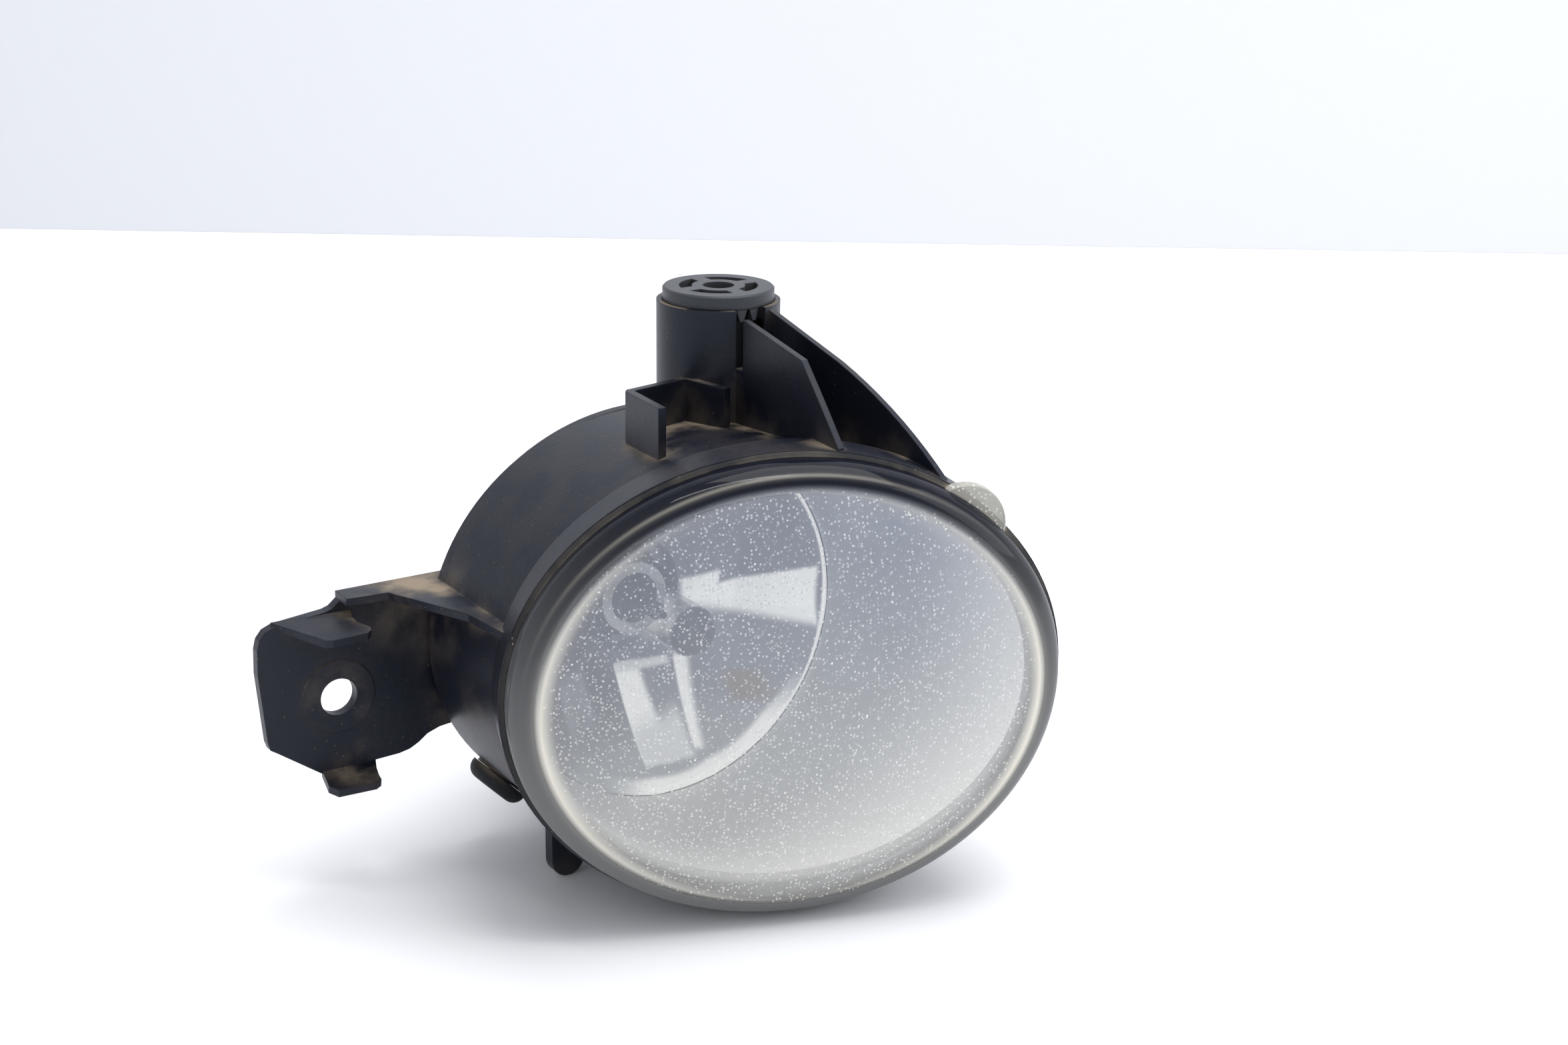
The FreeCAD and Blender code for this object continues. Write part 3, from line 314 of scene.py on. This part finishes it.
def metallised(name):
    """Bright metallising with painted reflections: the light and dark fields that the bowl's facets
    mirror are painted on as colour (in mm), and the pale ones emit light.
    """
    material, tree = new_material(name)
    axes = object_axes(tree)
    x = in_mm(tree, axes["X"], LAMP.x)
    z = in_mm(tree, axes["Z"], LAMP.z)
    squares = [math_node(tree, "MULTIPLY", side, side) for side in (x, z)]
    radius = math_node(tree, "SQRT", math_node(tree, "ADD", *squares))
    # tones of the painted reflections
    light = (0.97, 0.96, 0.9, 1)
    warm = (0.8, 0.8, 0.77, 1)
    grey = (0.42, 0.43, 0.45, 1)
    brown = (0.42, 0.3, 0.16, 1)
    # painted shade: the bowl's left side is dark
    shaded = field(tree, x, z, (-1, -0.2, 8, 6))
    tone = blend_colour(tree, shaded, (0.4, 0.41, 0.46, 1), (0.04, 0.042, 0.055, 1))
    # painted light: paler low down
    lit_low_down = field(tree, x, z, (0, -1, 26, 10))
    tone = blend_colour(tree, lit_low_down, tone, (0.52, 0.53, 0.54, 1))
    reflected_fields = (
        # painted reflection: the warm patch beside the bulb's foot
        (warm, (1, 0, 2, 2), (-1, 0, -14, 2), (0, -1, 3.5, 1.5), (0, 1, -12.5, 1.5)),
        # painted reflections: the wide field right of it, in two steps, over a grey band
        (light, (1, 0, 14.8, 0.8), (-1, 0, -22.6, 0.5), (0.3, -1, 3.4, 0.8), (0, 1, -10, 1.2)),
        (light, (1, 0, 22.4, 0.5), (-1, 0, -40.3, 0.6), (0.33, -1, 7.6, 0.8), (0.12, 1, -5.2, 1.4)),
        (grey, (1, 0, 15, 1), (-1, 0, -40.3, 1), (-0.15, -1, 3.4, 2), (0, 1, -17, 2)),
        # painted reflections: the two upright fields below the bulb, then the brown one
        (grey, (1, 0, -4.6, 0.5), (-1, 0, -9, 1.2), (0, -1, 16.8, 0.6), (0, 1, -36.8, 0.7)),
        (light, (1, 0, -4.8, 0.4), (-1, -0.1, 0.3, 1.1), (0, -1, 16.4, 0.6), (0, 1, -37, 0.6)),
        (warm, (1, 0, -4.6, 0.5), (-1, 0, -8.6, 1.4), (0.25, -1, 29, 3), (0, 1, -37, 0.6)),
        (warm, (1, 0, -4.6, 0.5), (-1, 0, -9.5, 0.8), (0, -1, 16.4, 0.4), (0, 1, -18.4, 0.6)),
        (light, (1, -0.1, 12.4, 0.5), (-1, 0.15, -16.6, 1.1), (0, -1, 16.6, 0.8), (0, 1, -35.8, 0.8)),
        (brown, (1, 0, 20.5, 2), (-1, 0, -28.5, 2), (0, -1, 20.5, 1.6), (0, 1, -26.6, 1.6)),
        # painted reflection: the dull patch at the far left
        (grey, (1, 0, -23.5, 1.4), (-1, 0, 14.5, 1.4), (0, -1, 15, 2), (0, 1, -27, 2)),
    )
    for shade, *edges in reflected_fields:
        tone = blend_colour(tree, field(tree, x, z, *edges), tone, shade)
    # painted reflections: the light band low down and the thin light rim, both fading out to the left
    low_reflected_band = field(tree, radius, z, (1, 0, 39.3, 0.7), (0, -1, 24, 9))
    thin_reflected_rim = field(tree, radius, z, (1, 0, 41.4, 0.25))
    for around, fading in ((low_reflected_band, (1, 0, -12, 7)), (thin_reflected_rim, (1, 0, -6, 10))):
        lit = math_node(tree, "MULTIPLY", around, field(tree, x, z, fading))
        tone = blend_colour(tree, lit, tone, light)
    surface = node(tree, "ShaderNodeBsdfPrincipled", Roughness=0.3, Metallic=0.35)
    link(tree, tone, surface.inputs["Base Color"])
    # painted light: the paler the tone, the more it emits, though the bowl is no lamp
    link(tree, tone, surface.inputs["Emission Color"])
    value = node(tree, "ShaderNodeRGBToBW")
    link(tree, tone, value.inputs[0])
    painted_glow = ramp(tree, value.outputs[0], 0.45, 0.95, 0.6, smooth=False)
    link(tree, painted_glow, surface.inputs["Emission Strength"])
    output(tree, surface.outputs[0])
    return material


def coated(name):
    """Opaque black on the very tip of the bulb, thinning to clear behind it."""
    material, tree = new_material(name)
    fade = ramp(tree, object_axes(tree)["Y"], at(0, 36.6, 0).y, at(0, 38.4, 0).y)
    black = node(tree, "ShaderNodeBsdfPrincipled", Roughness=0.35)
    black.inputs["Base Color"].default_value = (0.012, 0.012, 0.014, 1)
    bare = node(tree, "ShaderNodeBsdfTransparent")
    mix = node(tree, "ShaderNodeMixShader")
    link(tree, fade, mix.inputs[0])
    link(tree, black.outputs[0], mix.inputs[1])
    link(tree, bare.outputs[0], mix.inputs[2])
    output(tree, mix.outputs[0])
    return material


HOUSING = dusty("housing plastic", (0.006, 0.0072, 0.014), 0.4, 1.0, spots=(
    ((-56, 60, 10.3), 17, 0.85), ((-73.6, 64.5, -9.1), 11, 0.75), ((-70, 64, -27), 9, 0.8),
    ((-50, 40, -14), 16, 0.5)))
WHEEL = dusty("wheel plastic", (0.04, 0.043, 0.048), 0.42, 0.4)
BASE = dusty("bulb base plastic", (0.012, 0.012, 0.012), 0.5, 0.3)
RUBBER = dusty("black rubber", (0.01, 0.01, 0.01), 0.7, 0.6)
SEAL = dusty("sealant", (0.09, 0.08, 0.065), 0.8, 1.0)
DIRT = dusty("joint dirt", (0.02, 0.019, 0.018), 0.8, 2.4, dust=(0.42, 0.37, 0.29, 1))
BEZEL = satin("satin silver")
LIP = plain("bright lip", (0.96, 0.94, 0.86), 0.35, 0.1)
MIRROR = metallised("metallised")
STEEL = plain("sheet steel", (0.75, 0.75, 0.73), 0.35, 0.7)
TUNGSTEN = plain("drawn wire", (0.3, 0.29, 0.28), 0.35, 1.0)
BLACK_TIP = coated("black coat")
RING = plain("silicone ring", (0.3, 0.05, 0.02), 0.55)
BRASS = plain("tinned brass", (0.6, 0.5, 0.3), 0.3, 1.0)
# painted light and shade on the lens: its film runs from pale low down to blue-grey high up, and its
# rim colour is a painted dark edge
LENS = clear("clear lens", (0.98, 0.982, 0.985), 0.27, (0.88, 0.87, 0.83), (0.48, 0.515, 0.6),
             rim=(0.015, 0.017, 0.03))
TAB = clear("dusty tab", (0.7, 0.7, 0.67), 0.6, (0.55, 0.53, 0.48), (0.55, 0.53, 0.48))
QUARTZ = clear("quartz", (0.97, 0.97, 0.97), 0.02, (0.6, 0.6, 0.6), (0.6, 0.6, 0.6), dusted=False)


def paint(name, material):
    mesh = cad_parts[name].data
    mesh.materials.clear()
    mesh.materials.append(material)


for name, material in {
    "housing": HOUSING, "lens_seal": SEAL, "vent_cap": RUBBER, "adjuster_wheel": WHEEL,
    "bulb_glass": QUARTZ, "bulb_black_tip": BLACK_TIP, "bulb_filament": TUNGSTEN,
    "bulb_lead_wire_1": TUNGSTEN, "bulb_lead_wire_2": TUNGSTEN, "bulb_collar": STEEL,
    "bulb_base": BASE, "bulb_o_ring": RING, "bulb_terminal_1": BRASS, "bulb_terminal_2": BRASS,
    "reflector_screw_1": STEEL, "reflector_screw_2": STEEL, "reflector_screw_3": STEEL,
}.items():
    paint(name, material)


# ---------------------------------------------------------------- shapes

def add_mesh(name, points, faces, material, body, angle=40):
    """A smooth-shaded piece on a body, sharp where its faces meet at more than the angle."""
    mesh = bpy.data.meshes.new(name)
    mesh.from_pydata(points, [], faces)
    mesh.materials.append(material)
    mesh.validate()
    piece = bpy.data.objects.new(name, mesh)
    bpy.context.scene.collection.objects.link(piece)
    mesh.polygons.foreach_set("use_smooth", [True] * len(mesh.polygons))
    mesh.set_sharp_from_angle(angle=math.radians(angle))
    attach(piece, body)
    return piece


def turns(count):
    """Angles once round, evenly spaced."""
    return [2 * math.pi * i / count for i in range(count)]


def weigh(piece, name, values):
    """Stores one number for each point of a piece, for its material to read."""
    layer = piece.data.attributes.new(name, "FLOAT", "POINT")
    layer.data.foreach_set("value", values)


def rings(rows, closed=False):
    """Faces between successive rings of equal length; closed joins the last ring to the first."""
    count = len(rows[0])
    points = [p for row in rows for p in row]
    faces = []
    pairs = list(zip(range(len(rows) - 1), range(1, len(rows))))
    if closed:
        pairs.append((len(rows) - 1, 0))
    for a, b in pairs:
        for i in range(count):
            j = (i + 1) % count
            faces.append((a * count + i, a * count + j, b * count + j, b * count + i))
    return points, faces


def lens_profile(radius, crown_radius, depth, edge, tail):
    """(radius, height) points of the lens's round form, from its tail over its edge to the middle."""
    steps = 14
    centre = depth - crown_radius
    middle = radius - edge
    height = centre + math.sqrt((crown_radius - edge) ** 2 - middle ** 2)
    top = math.atan2(height - centre, middle)
    points = [(radius, -tail), (radius, (height - tail) / 2), (radius, height)]
    for i in range(1, steps + 1):
        turn = top * i / steps
        points.append((middle + edge * math.cos(turn), height + edge * math.sin(turn)))
    reach = math.asin(middle / (crown_radius - edge))
    for k in range(steps - 1, 0, -1):
        lean = reach * k / steps
        points.append((crown_radius * math.sin(lean), centre + crown_radius * math.cos(lean)))
    return points


def make_lens():
    """The crowned oval cover, with the weights of its painted dark rim and of its painted light: a
    pale ring and a highlight streak.
    """
    stretch = LENS_LONG / LENS_TALL
    angles = turns(160)
    depth, inner_depth, pinhole = 14.5, 12.1, 0.05
    rim_from, rim_soft = 45.6, 1.2
    ring_at, streak_at, streak_wide = 45.0, 48.6, 0.3
    outer = lens_profile(LENS_TALL, 190, depth, 7, 3.4) + [(pinhole, depth)]
    inner = lens_profile(48.2, 187.6, inner_depth, 4.6, 3.4) + [(pinhole, inner_depth)]
    rows, rim, painted_glow = [], [], []
    for place, (radius, height) in enumerate(outer + inner[::-1]):
        # painted shade: the rim weight, rising across the lens's rounded edge
        rim += [min(1, max(0, (radius - rim_from) / rim_soft))] * len(angles)
        for a in angles:
            # painted light: the pale ring, strongest at the sides and low down, and the highlight
            # streak along the top
            strength = 0.12 + 0.75 * abs(math.cos(a)) ** 1.5 + 0.25 * max(0, -math.sin(a))
            ring_wide = 0.5 + 0.9 * abs(math.cos(a))
            ring = strength * math.exp(-((radius - ring_at) / ring_wide) ** 2)
            streak = math.exp(-((radius - streak_at) / streak_wide) ** 2)
            streak *= 0.5 * max(0, math.sin(a - 0.25)) ** 3
            painted_glow.append(max(ring, streak) if place < len(outer) else 0)
        rows.append([swept(stretch * radius * math.cos(a), height, radius * math.sin(a))
                     for a in angles])
    points, faces = rings(rows, closed=True)
    piece = add_mesh("lens_clear_cover", points, faces, LENS, "lamp")
    weigh(piece, "rim", rim)
    weigh(piece, "painted_glow", painted_glow)
    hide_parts("lens")


def make_tab():
    """The moulding tab at the upper right: the part of a disc that stands out past the lens."""
    centre_u, centre_z, size, tuck, sides = 37.2, 33.8, 9.3, 0.1, 24
    angles = [math.radians(step) for step in range(-60, 160, 2)]
    arc = [(centre_u + size * math.cos(a), centre_z + size * math.sin(a)) for a in angles]
    arc = [(u, z) for u, z in arc if (u / LENS_LONG) ** 2 + (z / LENS_TALL) ** 2 > 1.001]
    first, last = (math.atan2(z / LENS_TALL, u / LENS_LONG) for u, z in (arc[0], arc[-1]))
    back = [last + (first - last) * k / sides for k in range(sides + 1)]
    outline = arc + [((LENS_LONG - tuck) * math.cos(a), (LENS_TALL - tuck) * math.sin(a))
                     for a in back]
    middle = [sum(p[k] for p in outline) / len(outline) for k in (0, 1)]
    rows = []
    for inset, height in ((0, 0.1), (0, 1.9), (0.08, 2.5)):
        rows.append([swept(u + (middle[0] - u) * inset, height, z + (middle[1] - z) * inset)
                     for u, z in outline])
    points, faces = rings(rows)
    count = len(outline)
    faces += [tuple(range(count))[::-1], tuple(range(2 * count, 3 * count))]
    tab = add_mesh("lens_gate_tab", points, faces, TAB, "lamp")


def throat(angle, radius, depth):
    """A point on a ring square to the light's axis."""
    return at(radius * math.cos(angle), depth, radius * math.sin(angle))


def make_bezel():
    """The funnel from the oval mouth to the round throat, and the rolled lip round its front."""
    angles, steps = turns(160), 24
    mouth_long, mouth_tall, mouth_at = 53.0, 43.2, 0.4
    throat_radius, throat_at = 42.4, 45.3
    wall_long, wall_tall, wall_throat = 54.0, 44.3, 43.5
    rows, edge = [], []
    for step in range(steps + 1):
        part = (step / steps) ** 1.2
        rows.append([swept(mouth_long * math.cos(a), mouth_at, mouth_tall * math.sin(a)).lerp(
            throat(a, throat_radius, throat_at), part) for a in angles])
        for a in angles:
            # painted light: the weight of the front edge's painted brightness, strongest low on the
            # right, fading into the funnel
            side = 0.35 + 0.65 * max(0, math.cos(a + 0.55))
            edge.append(side * max(0, 1 - part / (0.2 + 0.45 * side)) ** 1.4)
    rows += [[throat(a, wall_throat, throat_at) for a in angles],
             [swept(wall_long * math.cos(a), mouth_at, wall_tall * math.sin(a)) for a in angles]]
    edge += [0] * 2 * len(angles)
    points, faces = rings(rows, closed=True)
    piece = add_mesh("bezel_funnel", points, faces, BEZEL, "lamp", angle=50)
    weigh(piece, "edge", edge)
    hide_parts("bezel")
    lip_long, lip_tall, lip_at, half_wide, half_deep = 53.9, 44.2, 0.95, 1.25, 0.8
    rows = []
    for turn in turns(12):
        grow, ahead = half_wide * math.cos(turn), lip_at + half_deep * math.sin(turn)
        rows.append([swept((lip_long + grow) * math.cos(a), ahead, (lip_tall + grow) * math.sin(a))
                     for a in angles])
    points, faces = rings(rows, closed=True)
    lip = add_mesh("bezel_rolled_lip", points, faces, LIP, "lamp")


def make_reflector():
    """The bowl, with upright flutes and stepped fields pressed into it, its neck and its seat."""
    lamp, front = 52.6, 45.5
    seat_radius, seat_at, wall = 9, 71.9, 1.0
    flute_wide, flute_deep, field_tall, field_deep, start = 15, 0.9, 30, 0.7, 4
    focal = (math.hypot(lamp - front, BOWL_RIM) - (lamp - front)) / 2
    angles, steps = turns(240), 60
    deepest = lamp + focal - BOWL_HOLE * BOWL_HOLE / (4 * focal)
    neck = ((seat_radius, seat_at), (BOWL_HOLE - 0.4, seat_at), (BOWL_HOLE, seat_at - 0.3),
            (BOWL_HOLE, deepest + 0.3))
    rows = [[throat(a, radius, depth) for a in angles] for radius, depth in neck]
    for step in range(steps + 1):
        radius = BOWL_HOLE + (BOWL_RIM - BOWL_HOLE) * step / steps
        fade = min(1, (radius - BOWL_HOLE) / 3, (BOWL_RIM - radius) / 1.5)
        row = []
        for a in angles:
            x, z = radius * math.cos(a), radius * math.sin(a)
            depth = lamp + focal - radius * radius / (4 * focal)
            across = math.sin(math.pi * ((x + start) / flute_wide % 1))
            upwards = math.sin(math.pi * ((z + start) / field_tall % 1))
            depth -= fade * (flute_deep * across + field_deep * upwards)
            row.append(at(x, depth, z))
        rows.append(row)
    points, faces = rings(rows)
    piece = add_mesh("reflector_bowl", points, faces, MIRROR, "lamp", angle=14)
    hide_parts("reflector")
    thick = piece.modifiers.new("wall", "SOLIDIFY")
    thick.thickness, thick.offset = wall * MM, 1


def make_joint_dust():
    """The line of dirt caught where the lens stands on the flange."""
    rows = []
    for grow, ahead in ((0.04, 0.9), (0.75, 0.45), (1.0, 0.03), (0.04, 0.03)):
        rows.append([swept((LENS_LONG + grow) * math.cos(a), ahead, (LENS_TALL + grow) * math.sin(a))
                     for a in turns(240)])
    points, faces = rings(rows, closed=True)
    line = add_mesh("lens_joint_dirt", points, faces, DIRT, "lamp")


make_lens()
make_tab()
make_joint_dust()
make_bezel()
make_reflector()


# ---------------------------------------------------------------- room, light and camera

def plane(name, centre, across, up, colour):
    """A flat sheet of the room, reaching across and up from its centre by those vectors."""
    points = [centre - across - up, centre + across - up, centre + across + up, centre - across + up]
    mesh = bpy.data.meshes.new(name)
    mesh.from_pydata(points, [], [(0, 1, 2, 3)])
    mesh.materials.append(plain(name + " paint", colour, 0.6))
    made = bpy.data.objects.new(name, mesh)
    bpy.context.scene.collection.objects.link(made)
    return made


# the camera stands above the lamp's front, to its left, and looks a little down
EYE = Vector((-240.5, -350.9, 176.6)) * MM + LAMP
RIGHT = Vector((0.829, -0.559, 0.0155)).normalized()
FORWARD = Vector((0.535, 0.785, -0.313)).normalized()
UP = RIGHT.cross(FORWARD).normalized()
RIGHT = FORWARD.cross(UP)

ROOM_HALF, WALL_AWAY, WALL_HALF = 4, 1.19, 1.4      # m
level = Vector((FORWARD.x, FORWARD.y, 0)).normalized()
side = Vector((-level.y, level.x, 0))
wall_at = EYE + level * WALL_AWAY
plane("table_top", Vector((0.2, 0.2, -0.0002)), Vector((ROOM_HALF, 0, 0)),
      Vector((0, ROOM_HALF, 0)), (0.93, 0.93, 0.94))
plane("back_wall", Vector((wall_at.x, wall_at.y, WALL_HALF)), side * ROOM_HALF,
      Vector((0, 0, WALL_HALF)), (0.74, 0.75, 0.78))

camera = bpy.data.cameras.new("camera")
camera.lens, camera.sensor_width = 50, 36
camera.clip_start, camera.clip_end = 0.01, 50
eye = bpy.data.objects.new("camera", camera)
bpy.context.scene.collection.objects.link(eye)
eye.matrix_world = Matrix.Translation(EYE) @ Matrix((RIGHT, UP, -FORWARD)).transposed().to_4x4()
bpy.context.scene.camera = eye


def area(name, place, target, size, power, colour=(1, 1, 1)):
    """A rectangular lamp at a place, turned to face the target; sizes in m, power in W."""
    light = bpy.data.lights.new(name, "AREA")
    light.shape, light.size, light.size_y = "RECTANGLE", size[0], size[1]
    light.energy, light.color = power, colour
    made = bpy.data.objects.new(name, light)
    bpy.context.scene.collection.objects.link(made)
    made.location = place
    made.rotation_mode = "QUATERNION"
    made.rotation_quaternion = (Vector(target) - Vector(place)).to_track_quat("-Z", "Y")


area("overhead", Vector((0.4, -0.05, 1.4)), (0, 0, 0), (1.3, 1.0), 14)
area("strip", Vector((-0.1, -0.1, 1.3)), (0, 0, 0.05), (0.8, 0.1), 2.5)
area("window", Vector((1.1, -0.75, 0.8)), (0, 0, 0.05), (0.9, 0.9), 5, (0.95, 0.97, 1))

world = bpy.data.worlds.new("sky")
world.use_nodes = True
world.node_tree.nodes["Background"].inputs[0].default_value = (0.92, 0.95, 1, 1)
world.node_tree.nodes["Background"].inputs[1].default_value = 0.75
bpy.context.scene.world = world
bpy.context.scene.view_settings.view_transform = "Standard"
